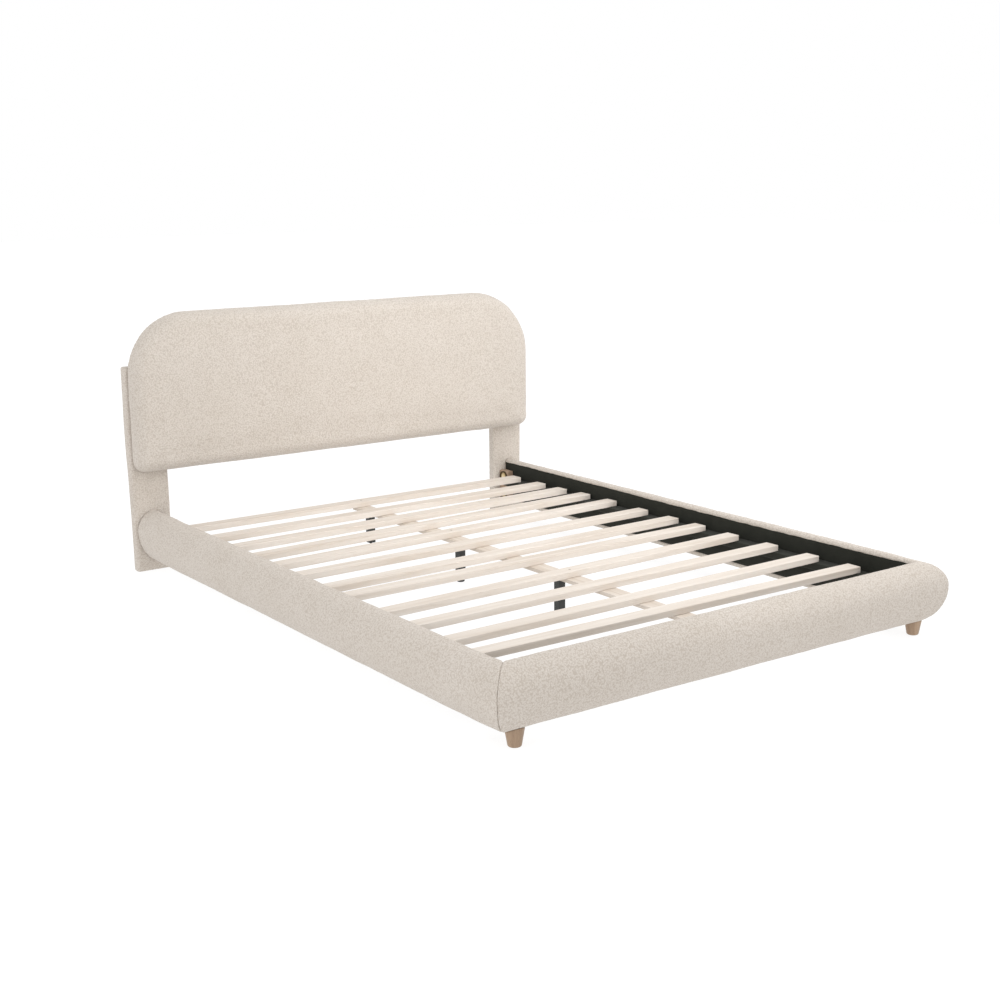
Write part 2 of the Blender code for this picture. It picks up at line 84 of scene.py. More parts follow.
RAIL_BOLT_ZS = (0.155, 0.085)
NUT_Y = POST_FRONT - GAP - 0.0300
PANEL_BOLT_ZS = (0.660, 0.450)
BOLT_RADIUS = 0.003
BOLT_HEAD_RADIUS = 0.0075
BOLT_HEAD_HEIGHT = 0.004
RECESS_RADIUS = 0.0090
RECESS_DEPTH = 0.0055
# How far each kind of bolt reaches past its head
PANEL_BOLT_REACH = 0.0493
RAIL_BOLT_REACH = 0.0768
SLAT_COUNT = 12
SLAT_FIRST_Y = 0.9420
SLAT_LAST_Y = -0.8174
SLAT_PITCH = (SLAT_FIRST_Y - SLAT_LAST_Y) / (SLAT_COUNT - 1)

# Camera
CAMERA_PLACE = (-2.7587, -3.8164, 1.3667)
CAMERA_HEADING = math.radians(35.583)
CAMERA_PITCH = math.radians(12.360)
CAMERA_ROLL = math.radians(-0.5600)
CAMERA_LENS = 53.303
CAMERA_SENSOR = 36

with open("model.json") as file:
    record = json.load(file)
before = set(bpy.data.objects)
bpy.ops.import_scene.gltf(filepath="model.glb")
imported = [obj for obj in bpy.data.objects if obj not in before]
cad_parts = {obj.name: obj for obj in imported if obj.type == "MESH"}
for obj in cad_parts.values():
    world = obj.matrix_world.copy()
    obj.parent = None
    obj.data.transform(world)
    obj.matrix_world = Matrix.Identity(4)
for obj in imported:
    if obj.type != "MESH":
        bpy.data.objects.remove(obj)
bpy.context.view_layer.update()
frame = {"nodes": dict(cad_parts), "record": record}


# ---------------------------------------------------------------- materials


class Nodes:
    """A material's node tree, with short ways to add and join its nodes."""

    def __init__(self, name):
        self.material = bpy.data.materials.new(name)
        self.material.use_nodes = True
        self.tree = self.material.node_tree
        self.shader = self.tree.nodes["Principled BSDF"]
        self.place = self.add("ShaderNodeTexCoord").outputs["Object"]

    def add(self, kind, **settings):
        node = self.tree.nodes.new(kind)
        for key, value in settings.items():
            setattr(node, key, value)
        return node

    def link(self, source, target):
        self.tree.links.new(source, target)

    def put(self, target, value):
        """Joins a socket to the target, or sets the target's own value."""
        if isinstance(value, bpy.types.NodeSocket):
            self.link(value, target)
        elif isinstance(value, tuple) and target.type == "RGBA":
            target.default_value = (*value[:3], 1.0)
        else:
            target.default_value = value

    def stretched(self, scale, offset=(0, 0, 0)):
        mapping = self.add("ShaderNodeMapping")
        self.link(self.place, mapping.inputs["Vector"])
        mapping.inputs["Scale"].default_value = scale
        mapping.inputs["Location"].default_value = offset
        return mapping.outputs["Vector"]

    def noise(self, place, scale, detail=2.0, roughness=0.5, distortion=0.0):
        node = self.add("ShaderNodeTexNoise")
        self.link(place, node.inputs["Vector"])
        node.inputs["Scale"].default_value = scale
        node.inputs["Detail"].default_value = detail
        node.inputs["Roughness"].default_value = roughness
        node.inputs["Distortion"].default_value = distortion
        return node.outputs["Fac"]

    def cells(self, place, scale, feature="F1", output="Distance", randomness=1.0):
        node = self.add("ShaderNodeTexVoronoi", feature=feature)
        self.link(place, node.inputs["Vector"])
        node.inputs["Scale"].default_value = scale
        node.inputs["Randomness"].default_value = randomness
        return node.outputs[output]

    def math(self, operation, first, second=0.0, clamp=False):
        node = self.add("ShaderNodeMath", operation=operation, use_clamp=clamp)
        self.put(node.inputs[0], first)
        self.put(node.inputs[1], second)
        return node.outputs[0]

    def span(self, value, low, high, new_low=0.0, new_high=1.0):
        node = self.add("ShaderNodeMapRange")
        self.link(value, node.inputs["Value"])
        for key, number in (("From Min", low), ("From Max", high), ("To Min", new_low), ("To Max", new_high)):
            node.inputs[key].default_value = number
        return node.outputs["Result"]

    def ramp(self, value, *stops):
        node = self.add("ShaderNodeValToRGB")
        self.link(value, node.inputs["Fac"])
        points = node.color_ramp.elements
        while len(points) < len(stops):
            points.new(0.5)
        for point, (position, colour) in zip(points, stops):
            point.position = position
            point.color = (*colour, 1.0)
        return node.outputs["Color"]

    def mix(self, share, first, second, blend="MIX"):
        node = self.add("ShaderNodeMix", data_type="RGBA", blend_type=blend)
        self.put(node.inputs[0], share)
        for socket, value in ((node.inputs[6], first), (node.inputs[7], second)):
            self.put(socket, value)
        return node.outputs[2]

    def bump(self, height, strength, distance, below=None):
        node = self.add("ShaderNodeBump")
        self.link(height, node.inputs["Height"])
        node.inputs["Strength"].default_value = strength
        node.inputs["Distance"].default_value = distance
        if below is not None:
            self.link(below, node.inputs["Normal"])
        return node.outputs["Normal"]

    def finish(self, colour, normal=None, roughness=0.5, **values):
        self.put(self.shader.inputs["Base Color"], colour)
        self.put(self.shader.inputs["Roughness"], roughness)
        if normal is not None:
            self.link(normal, self.shader.inputs["Normal"])
        for key, value in values.items():
            self.shader.inputs[key.replace("_", " ")].default_value = value
        return self.material


def boucle():
    """Cream boucle: tight, curly loops a few millimetres across, with a little shadow between them."""
    n = Nodes("cream_boucle")
    wander = n.add("ShaderNodeTexNoise")
    n.link(n.place, wander.inputs["Vector"])
    wander.inputs["Scale"].default_value = 150
    wander.inputs["Detail"].default_value = 2
    shift = n.add("ShaderNodeVectorMath", operation="MULTIPLY_ADD")
    n.link(wander.outputs["Color"], shift.inputs[0])
    shift.inputs[1].default_value = (0.006, 0.006, 0.006)
    n.link(n.place, shift.inputs[2])
    curled = shift.outputs["Vector"]
    loops = n.cells(curled, 210)
    strands = n.cells(curled, 520)
    fuzz = n.noise(n.place, 1300, 3)
    patches = n.noise(n.place, 6, 3)
    nub = n.span(loops, 0.05, 0.75, 1.0, 0.0)
    fine = n.span(strands, 0.05, 0.8, 1.0, 0.0)
    height = n.math("ADD", nub, n.math("MULTIPLY", fine, 0.4))
    height = n.math("ADD", height, n.math("MULTIPLY", fuzz, 0.2))
    shade = n.ramp(
        n.span(height, 0.25, 1.35),
        (0.0, (0.50, 0.442, 0.385)),
        (0.40, (0.610, 0.556, 0.500)),
        (1.0, (0.665, 0.615, 0.562)),
    )
    tint = n.ramp(patches, (0.3, (0.965, 0.96, 0.95)), (0.7, (1.0, 1.0, 1.0)))
    colour = n.mix(1.0, shade, tint, "MULTIPLY")
    normal = n.bump(height, 0.55, 0.0014)
    return n.finish(colour, normal, 0.95, Sheen_Weight=0.12, Sheen_Roughness=0.6, Specular_IOR_Level=0.12)


def lining_cloth():
    """Black non-woven dust cloth with a fine pressed dot pattern."""
    n = Nodes("black_lining")
    dots = n.cells(n.place, 420, randomness=0.25)
    fibres = n.noise(n.place, 900, 4, 0.7)
    mottle = n.noise(n.place, 28, 3)
    colour = n.ramp(
        n.math("ADD", n.math("MULTIPLY", fibres, 0.6), n.math("MULTIPLY", mottle, 0.4)),
        (0.3, (0.014, 0.015, 0.011)),
        (0.7, (0.030, 0.031, 0.024)),
    )
    height = n.math("ADD", n.span(dots, 0.1, 0.5), n.math("MULTIPLY", fibres, 0.4))
    return n.finish(colour, n.bump(height, 0.5, 0.0005), 0.9, Sheen_Weight=0.06, Specular_IOR_Level=0.2)


def sawn_wood(name, axis, light, mid, dark, streak, roughness=0.6, coat=0.0):
    """Wood whose grain runs along the given axis: 0 for X, 1 for Y and 2 for Z."""
    n = Nodes(name)
    broad = [26.0, 26.0, 26.0]
    broad[axis] = 1.1
    fine = [420.0, 420.0, 420.0]
    fine[axis] = 9.0
    grain = n.noise(n.stretched(broad), 1.0, 4, 0.55, 1.2)
    pores = n.noise(n.stretched(fine), 1.0, 3, 0.6)
    knots = n.noise(n.stretched([s * 0.35 for s in broad], (3.1, 1.7, 0.4)), 1.0, 2)
    colour = n.ramp(grain, (0.30, dark), (0.5, mid), (0.70, light))
    colour = n.mix(n.span(pores, 0.55, 0.75, 0.0, 0.55), colour, streak)
    colour = n.mix(n.span(knots, 0.60, 0.75, 0.0, 0.5), colour, dark)
    height = n.math("ADD", n.math("MULTIPLY", grain, 0.5), n.math("MULTIPLY", pores, -0.8))
    rough = n.span(pores, 0.3, 0.8, roughness - 0.08, roughness + 0.12)
    return n.finish(colour, n.bump(height, 0.25, 0.0006), rough, Coat_Weight=coat, Coat_Roughness=0.3)


def brass_with_painted_highlight():
    """Brass whose caps carry a painted highlight in the middle and painted shade towards their rims."""
    n = Nodes("brass_painted_highlight")
    apart = n.add("ShaderNodeSeparateXYZ")
    n.link(n.place, apart.inputs[0])
    back = n.math("SUBTRACT", apart.outputs["Y"], NUT_Y)
    upper, lower = (n.math("ABSOLUTE", n.math("SUBTRACT", apart.outputs["Z"], z)) for z in RAIL_BOLT_ZS)
    up = n.math("MINIMUM", upper, lower)
    squares = n.math("ADD", n.math("MULTIPLY", back, back), n.math("MULTIPLY", up, up))
    grit = n.noise(n.place, 700, 3)
    away = n.math("ADD", n.math("SQRT", squares), n.math("MULTIPLY", grit, 0.002))
    # Painted highlight at each cap's middle, darkening to painted shade at its rim
    tone = n.ramp(
        n.span(away, 0.0, 0.026),
        (0.0, (0.80, 0.68, 0.44)),
        (0.55, (0.62, 0.47, 0.25)),
        (0.70, (0.10, 0.07, 0.035)),
    )
    return n.finish(tone, n.bump(grit, 0.3, 0.0002), 0.34, Metallic=0.85)


def metal(name, colour, worn, roughness, metallic=1.0, grain=260, depth=0.0002):
    """Plated or coated metal, with fine unevenness and slightly worn patches."""
    n = Nodes(name)
    grit = n.noise(n.place, grain, 4, 0.6)
    patches = n.noise(n.place, 40, 3)
    tone = n.mix(n.span(patches, 0.45, 0.7), colour, worn)
    rough = n.span(grit, 0.2, 0.8, roughness * 0.8, roughness * 1.25)
    return n.finish(tone, n.bump(grit, 0.3, depth), rough, Metallic=metallic)


LOOKS = {
    "boucle": boucle(),
    "lining": lining_cloth(),
    "slat_wood": sawn_wood(
        "whitewashed_slats", 0,
        (0.74, 0.68, 0.615), (0.69, 0.62, 0.55), (0.60, 0.52, 0.44), (0.54, 0.455, 0.38),
    ),
    "beam_wood": sawn_wood(
        "whitewashed_beam", 1,
        (0.70, 0.63, 0.56), (0.64, 0.565, 0.49), (0.54, 0.46, 0.38), (0.48, 0.40, 0.32),
    ),
    "plywood": sawn_wood(
        "plywood", 1, (0.58, 0.42, 0.26), (0.50, 0.35, 0.21), (0.36, 0.24, 0.14), (0.26, 0.16, 0.09)
    ),
    "block_wood": sawn_wood(
        "brown_block", 2, (0.55, 0.40, 0.29), (0.44, 0.31, 0.22), (0.28, 0.185, 0.12), (0.16, 0.10, 0.06)
    ),
    "foot_wood": sawn_wood(
        "oiled_beech", 2, (0.42, 0.29, 0.19), (0.35, 0.24, 0.155), (0.25, 0.16, 0.10), (0.19, 0.12, 0.07),
        roughness=0.5, coat=0.15,
    ),
    "steel": metal("zinc_plated_steel", (0.58, 0.58, 0.60), (0.45, 0.44, 0.42), 0.32),
    "brass": brass_with_painted_highlight(),
    "black_metal": metal(
        "black_powder_coat", (0.020, 0.022, 0.021), (0.035, 0.036, 0.034), 0.5, 0.0, 900, 0.0003
    ),
    "glide": metal("black_plastic", (0.03, 0.03, 0.03), (0.045, 0.045, 0.045), 0.55, 0.0, 500, 0.0002),
    "screw": metal("browned_screw", (0.36, 0.30, 0.24), (0.24, 0.19, 0.15), 0.4, 0.8),
    "staple": metal("staple_wire", (0.70, 0.70, 0.72), (0.52, 0.51, 0.50), 0.3),
}


# ------------------------------------------------------------ mesh building


def add_mesh(name, points, faces, look):
    """A smooth-shaded object made from points and faces, with one material."""
    mesh = bpy.data.meshes.new(name)
    mesh.from_pydata([tuple(p) for p in points], [], [tuple(f) for f in faces])
    mesh.materials.append(LOOKS[look])
    mesh.shade_smooth()
    thing = bpy.data.objects.new(name, mesh)
    bpy.context.scene.collection.objects.link(thing)
    return thing


def face_outwards(thing):
    """Turns every face of a closed mesh outwards."""
    shape = bmesh.new()
    shape.from_mesh(thing.data)
    bmesh.ops.recalc_face_normals(shape, faces=shape.faces)
    shape.to_mesh(thing.data)
    shape.free()


def loft(name, rings, look):
    """A closed solid through rings, an array of shape (rings, points, 3), capped at both ends."""
    rings = np.asarray(rings, float)
    count, around = rings.shape[:2]
    index = np.arange(count * around).reshape(count, around)
    following = np.roll(index, -1, axis=1)
    quads = np.stack([index[:-1], following[:-1], following[1:], index[1:]], -1).reshape(-1, 4)
    faces = quads.tolist() + [index[0][::-1].tolist(), index[-1].tolist()]
    thing = add_mesh(name, rings.reshape(-1, 3), faces, look)
    face_outwards(thing)
    return thing


def belongs(thing, slot, *nodes, body=FRAME_BODY):
    """Puts a finished piece on its body and hides the CAD nodes it stands for; slot is not used."""
    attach(thing, body)
    if nodes:
        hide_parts(*nodes)
    return thing


def points_of(thing):
    """The mesh's points as an array with one row for each."""
    flat = np.zeros(len(thing.data.vertices) * 3)
    thing.data.vertices.foreach_get("co", flat)
    return flat.reshape(-1, 3)


def set_points(thing, points):
    thing.data.vertices.foreach_set("co", np.ascontiguousarray(points, float).ravel())
    thing.data.update()


def normals_of(thing):
    """The outward direction at each of the mesh's points."""
    flat = np.zeros(len(thing.data.vertices) * 3)
    thing.data.vertex_normals.foreach_get("vector", flat)
    return flat.reshape(-1, 3)


def apply_modifiers(thing):
    """Replaces the mesh by what its modifiers make of it."""
    bpy.context.view_layer.update()
    graph = bpy.context.evaluated_depsgraph_get()
    made = bpy.data.meshes.new_from_object(thing.evaluated_get(graph))
    old = thing.data
    thing.modifiers.clear()
    thing.data = made
    bpy.data.meshes.remove(old)


def subdivide(thing, levels=1):
    step = thing.modifiers.new("subdivide", "SUBSURF")
    step.levels = step.render_levels = levels
    apply_modifiers(thing)
    thing.data.shade_smooth()


def lattice_values(corner, seed):
    """A repeatable pseudo-random number from 0 to 1 for each lattice corner."""
    mixed = corner[..., 0] * 73856093 ^ corner[..., 1] * 19349663 ^ corner[..., 2] * 83492791 ^ seed * 2654435
    mixed = (mixed ^ (mixed >> 13)) * 1274126177 & 0x7FFFFFFF
    mixed = (mixed ^ (mixed >> 16)) & 0xFFFF
    return mixed / 65535.0


def smooth_noise(points, size, seed=0):
    """Value noise from -1 to 1 whose lumps are about size across."""
    scaled = points / size
    base = np.floor(scaled).astype(np.int64)
    part = scaled - base
    part = part * part * (3 - 2 * part)
    total = 0.0
    for dx in (0, 1):
        for dy in (0, 1):
            for dz in (0, 1):
                weight = (
                    (part[:, 0] if dx else 1 - part[:, 0])
                    * (part[:, 1] if dy else 1 - part[:, 1])
                    * (part[:, 2] if dz else 1 - part[:, 2])
                )
                total = total + weight * lattice_values(base + np.array((dx, dy, dz)), seed)
    return total * 2 - 1


def nubs(points, size, seed=0):
    """Rounded bumps, one to each cell of about size across: 1 at a bump's top, 0 between bumps."""
    scaled = points / size
    base = np.floor(scaled).astype(np.int64)
    nearest = np.full(len(points), 9.0)
    for dx in (-1, 0, 1):
        for dy in (-1, 0, 1):
            for dz in (-1, 0, 1):
                corner = base + np.array((dx, dy, dz))
                centre = corner + np.stack([lattice_values(corner, seed + k) for k in (1, 2, 3)], -1)
                nearest = np.minimum(nearest, ((scaled - centre) ** 2).sum(1))
    return np.clip(1 - np.sqrt(nearest) / 0.9, 0, 1)


def roughen(thing, keep=None, lumps=0.0011, lump_size=0.09, nub_height=0.0008, nub_size=0.0080, seed=1):
    """Raises a boucle surface by broad lumps and small nubs; keep is a 0 to 1 share for each point."""
    points, normals = points_of(thing), normals_of(thing)
    rise = lumps * smooth_noise(points, lump_size, seed) + nub_height * nubs(points, nub_size, seed)
    rise += 0.4 * lumps * smooth_noise(points, lump_size / 3, seed + 9)
    if keep is not None:
        rise = rise * keep
    set_points(thing, points + normals * rise[:, None])


def inflate(thing, pinned, cap, pressure=5.0, shrink=0.0015, frames=20, evening=8):
    """Fills a pad by cloth simulation. pinned holds 0 to 1 for each point; no point moves more than cap.

    The stuffing bears the cloth up, so a point that sinks keeps only a little of that movement, and it evens
    the cloth's movement out between neighbouring points.
    """
    start, out = points_of(thing), normals_of(thing)
    set_points(thing, start - out * (shrink * (1 - pinned))[:, None])
    group = thing.vertex_groups.new(name="held")
    for i in np.nonzero(pinned > 0)[0]:
        group.add([int(i)], float(pinned[i]), "REPLACE")
    cloth = thing.modifiers.new("filling", "CLOTH")
    settings = cloth.settings
    settings.quality = 6
    settings.vertex_group_mass = group.name
    settings.use_pressure = True
    settings.uniform_pressure_force = pressure
    settings.effector_weights.gravity = 0
    settings.tension_stiffness = settings.compression_stiffness = 30
    settings.shear_stiffness = 12
    settings.bending_stiffness = 1.0
    cloth.collision_settings.use_collision = False
    cloth.point_cache.frame_start = 1
    cloth.point_cache.frame_end = frames
    scene = bpy.context.scene
    for number in range(1, frames + 1):
        scene.frame_set(number)
    graph = bpy.context.evaluated_depsgraph_get()
    evaluated = thing.evaluated_get(graph).data
    moved = np.zeros(start.size)
    evaluated.vertices.foreach_get("co", moved)
    moved = moved.reshape(-1, 3)
    thing.modifiers.clear()
    thing.vertex_groups.clear()
    scene.frame_set(1)
    way = moved - start
    sunk = np.minimum((way * out).sum(1), 0)
    way -= 0.8 * sunk[:, None] * out
    ends = np.array([edge.vertices[:] for edge in thing.data.edges])
    neighbours = np.maximum(np.bincount(ends.ravel(), minlength=len(way)), 1)[:, None]
    for _ in range(evening):
        total = np.zeros_like(way)
        np.add.at(total, ends[:, 0], way[ends[:, 1]])
        np.add.at(total, ends[:, 1], way[ends[:, 0]])
        way = 0.5 * way + 0.5 * total / neighbours
    way *= (1 - pinned)[:, None]
    far = np.maximum(np.linalg.norm(way, axis=1), 1e-9)
    way *= np.minimum(1, cap / far)[:, None]
    set_points(thing, start + way)


# ------------------------------------------------------------------- rails


def evenly(line, spacing):
    """The polyline's points placed again at an even spacing, both ends kept."""
    line = np.asarray(line, float)
    steps = np.linalg.norm(np.diff(line, axis=0), axis=1)
    along = np.concatenate([[0], np.cumsum(steps)])
    count = max(2, round(along[-1] / spacing) + 1)
    places = np.linspace(0, along[-1], count)
    return np.stack([np.interp(places, along, line[:, k]) for k in range(line.shape[1])], 1)


def arc(centre, radii, first, last, steps=40):
    """Points along an elliptical arc between two angles in degrees."""
    angles = np.radians(np.linspace(first, last, steps))
    return np.stack([centre[0] + radii[0] * np.cos(angles), centre[1] + radii[1] * np.sin(angles)], 1)


# Spacing of the cover's points along a rail, and how much closer they stand round its section
FABRIC_SPACING = 0.009
ROUND_SHARE = 0.55


def rail_section():
    """The padding's section as (u, z) points, and how many of them are on the covered, visible side."""
    tip = math.degrees(math.acos(RAIL_ROLL / RAIL_DEPTH))
    share = math.sin(math.radians(tip))
    low_z = RAIL_WIDEST_Z - (RAIL_WIDEST_Z - RAIL_BOTTOM) * share
    high_z = RAIL_WIDEST_Z + (RAIL_TOP - RAIL_WIDEST_Z) * share
    low = arc((RAIL_ROLL, low_z + RAIL_ROLL), (RAIL_ROLL, RAIL_ROLL), 180, 262, 10)
    under = arc((0, RAIL_WIDEST_Z), (RAIL_DEPTH, RAIL_WIDEST_Z - RAIL_BOTTOM), -tip, 0)
    over = arc((0, RAIL_WIDEST_Z), (RAIL_DEPTH, RAIL_TOP - RAIL_WIDEST_Z), 0, tip)
    high = arc((RAIL_ROLL, high_z - RAIL_ROLL), (RAIL_ROLL, RAIL_ROLL), 98, 180, 10)
    cover = np.concatenate([[(0, LIP_LOWER_EDGE)], low, under, over[1:], high, [(0, LIP_UPPER_EDGE)]])
    cover = evenly(cover, FABRIC_SPACING * ROUND_SHARE)
    inside = [
        (LIP_THICKNESS, LIP_UPPER_EDGE),
        (LIP_THICKNESS, CHANNEL_TOP),
        (CHANNEL_OUT, CHANNEL_TOP),
        (CHANNEL_OUT, 0.155),
        (CHANNEL_OUT, 0.105),
        (CHANNEL_OUT, CHANNEL_BOTTOM),
        (LIP_THICKNESS, CHANNEL_BOTTOM),
        (LIP_THICKNESS, LIP_LOWER_EDGE),
    ]
    return np.concatenate([cover, inside]), len(cover)


# Over a foot the padding's underside rises evenly outwards from this depth and height
FOOT_PAD_DEPTH = 0.0219
FOOT_PAD_Z = 0.0424
FOOT_PAD_RISE = 0.48
# The flatter patch fades out between these distances from a foot's axis
FOOT_PAD_OUTER = 0.048
FOOT_PAD_FADE = 0.020
FOOT_PAD_HELD = 0.036
FOOT_PAD_TOP = 0.08
SAG_RUN = 0.25
LOWEST_PADDING = 0.028


def sag(x):
    """How far the rails' undersides drop at the foot end: down on the right and slightly up on the left."""
    return 0.0035 * x / HALF_WIDTH - 0.0002


def underside(x, y):
    """Height of the padding's underside where it rests on a foot."""
    u = np.clip(np.maximum(np.abs(x) - WELL_HALF_WIDTH, WELL_FOOT - y), 0, RAIL_DEPTH)
    curve = RAIL_WIDEST_Z - (RAIL_WIDEST_Z - RAIL_BOTTOM) * np.sqrt(1 - (u / RAIL_DEPTH) ** 2)
    even = FOOT_PAD_Z + FOOT_PAD_RISE * (u - FOOT_PAD_DEPTH)
    return np.where(u > FOOT_PAD_DEPTH, np.minimum(curve, even), curve) - sag(x)


def settled(points):
    """Points moved to where the rails' undersides really sit: tilted a little, and flatter over each foot."""
    points = np.array(points)
    x, y, z = points.T
    low = np.clip((RAIL_WIDEST_Z - z) / (RAIL_WIDEST_Z - RAIL_BOTTOM), 0, 1)
    outer = np.maximum(np.abs(x) - WELL_HALF_WIDTH, WELL_FOOT - y) > 0.004
    near_foot = np.clip(1 - (y - WELL_FOOT) / SAG_RUN, 0, 1) ** 2
    z = z - sag(x) * low * near_foot * outer
    for _, side in SIDES:
        away = np.hypot(x - side * FOOT_X, y - FOOT_Y)
        share = np.clip((FOOT_PAD_OUTER - away) / FOOT_PAD_FADE, 0, 1)
        share = share * share * (3 - 2 * share) * (low > 0.3) * outer
        z = z + (np.minimum(z, underside(x, y)) - z) * share
    points[:, 2] = np.maximum(z, LOWEST_PADDING)
    return points


def section_normals(section):
    """Outward directions in the section's plane."""
    along = np.roll(section, -1, axis=0) - np.roll(section, 1, axis=0)
    out = np.stack([along[:, 1], -along[:, 0]], 1)
    return out / np.maximum(np.linalg.norm(out, axis=1, keepdims=True), 1e-9)


# Radius of the cover's roll into a mitred seam
SEAM_ROUND = 0.0075


def mitre_stations(length):
    """Distances from a mitre towards the rail's other end, close together at the rounded seam."""
    near = np.array([0.0, 0.0006, 0.0018, 0.0036, 0.0062, 0.0100, 0.0150])
    rest = np.arange(near[-1] + FABRIC_SPACING, length, FABRIC_SPACING)
    return np.concatenate([near, rest])


def pulled_in(distance):
    """How far the cover is drawn in at this distance from a seam."""
    share = np.clip(1 - distance / SEAM_ROUND, 0, 1)
    return SEAM_ROUND * (1 - np.sqrt(1 - share**2))


# The upper lip inside a side rail: distance along the rail and the height of the fabric's edge
SIDE_LIP = ((-1.04, 0.2068), (-0.75, 0.2064), (-0.60, 0.2048), (-0.45, 0.2038), (-0.10, 0.2036))
SIDE_LIP += ((0.20, 0.2050), (0.50, 0.2070), (0.80, 0.2090), (1.07, 0.2090))


def upper_lip(y):
    """Height of the fabric's ragged upper edge inside a side rail, higher towards the rail's ends."""
    y = np.atleast_1d(np.asarray(y, float))
    run, heights = zip(*SIDE_LIP)
    along = np.stack([y, np.zeros(len(y)), np.zeros(len(y))], 1)
    return np.interp(y, run, heights) + 0.0010 * smooth_noise(along, 0.015, 3)


def with_upper_lip(section, covered, lip):
    """The rail's section with its upper lip ending at another height."""
    section = section.copy()
    u, z = section.T
    roll_foot = RAIL_TOP - RAIL_ROLL - 0.0008
    on_lip = (u < 0.0008) & (z > 0.15) & (z < roll_foot) & (np.arange(len(u)) < covered)
    share = (z - LIP_UPPER_EDGE) / (roll_foot - LIP_UPPER_EDGE)
    section[on_lip, 1] = (lip + share * (roll_foot - lip))[on_lip]
    section[covered, 1] = lip
    section[covered + 1 : covered + 3, 1] = max(CHANNEL_TOP, lip + 0.002)
    return section


def side_pad(side_name, side):
    """A side rail's padding, mitred at the foot and butted square against its post."""
    plain, covered = rail_section()
    out = section_normals(plain)
    head = POST_FRONT - GAP
    length = head - WELL_FOOT
    stations = np.append(mitre_stations(length - 0.004), length)
    free = np.zeros(len(plain))
    free[:covered] = 1
    rings = []
    for t in stations:
        section = with_upper_lip(plain, covered, float(upper_lip(WELL_FOOT + t)[0]))
        inset = pulled_in(t) + 0.35 * pulled_in(max(0.0, length - t))
        u = section[:, 0] - out[:, 0] * inset * free
        z = section[:, 1] - out[:, 1] * inset * free
        foot_y = WELL_FOOT - u
        y = foot_y + t * (head - foot_y) / length
        rings.append(np.stack([side * (WELL_HALF_WIDTH + u), y, z], 1))
    return finish_pad(f"side_rail_{side_name}_cover", rings, covered, f"side_rail_{side_name}_pad", 11 + side)


def foot_pad():
    """The foot rail's padding, mitred at both ends."""
    section, covered = rail_section()
    out = section_normals(section)
    half = WELL_HALF_WIDTH
    stations = mitre_stations(half)
    stations = np.concatenate([stations, 2 * half - stations[::-1]])
    free = np.zeros(len(section))
    free[:covered] = 1
    rings = []
    for t in stations:
        inset = pulled_in(min(t, 2 * half - t))
        u = section[:, 0] - out[:, 0] * inset * free
        z = section[:, 1] - out[:, 1] * inset * free
        x = (half + u) * (t / half - 1)
        rings.append(np.stack([x, WELL_FOOT - u, z], 1))
    return finish_pad("foot_rail_cover", rings, covered, "foot_rail_pad", 31)


def finish_pad(name, rings, covered, node, seed):
    """Settles, fills and roughens a rail's padding. Its lips and the patches over the feet do not move."""
    pad = loft(name, rings, "boucle")
    set_points(pad, settled(points_of(pad)))
    held = np.ones((len(rings), len(rings[0])))
    held[:, 3 : covered - 3] = 0
    held[:2] = 1
    held[-2:] = 1
    held = held.ravel()
    x, y, z = points_of(pad).T
    held[(np.hypot(np.abs(x) - FOOT_X, y - FOOT_Y) < FOOT_PAD_HELD) & (z < FOOT_PAD_TOP)] = 1
    inflate(pad, held, cap=0.004)
    subdivide(pad)
    roughen(pad, seed=seed)
    return belongs(pad, "boucle", node)


# --------------------------------------------------------------- headboard


def panel_outline(inset, y, corner_steps=14):
    """The headboard's outline drawn in by inset, as a ring of points at one depth."""
    half = PANEL_HALF_WIDTH - inset
    top, bottom = PANEL_TOP - inset, PANEL_BOTTOM + inset
    left_radius = max(PANEL_TOP_LEFT_RADIUS - inset, 0.001)
    right_radius = max(PANEL_TOP_RIGHT_RADIUS - inset, 0.001)
    low_radius = max(PANEL_LOWER_RADIUS - inset, 0.001)
    corners = (
        (half - low_radius, bottom + low_radius, low_radius, -90),
        (half - right_radius, top - right_radius, right_radius, 0),
        (left_radius - half, top - left_radius, left_radius, 90),
        (low_radius - half, bottom + low_radius, low_radius, 180),
    )
    ring = []
    for x, z, radius, first in corners:
        for angle in np.radians(np.linspace(first, first + 90, corner_steps)):
            ring.append((x + radius * math.cos(angle), y, z + radius * math.sin(angle)))
    return np.array(ring)


PANEL_ROLL = 0.045
PANEL_CROWN = 0.006
PANEL_VOXEL = 0.009
# How far in from the headboard's edges its front goes on rising
CROWN_RUN_X = 0.22
CROWN_RUN_Z = 0.16
# The right end stands out a little more than the left
RIGHT_FULLNESS = 0.003


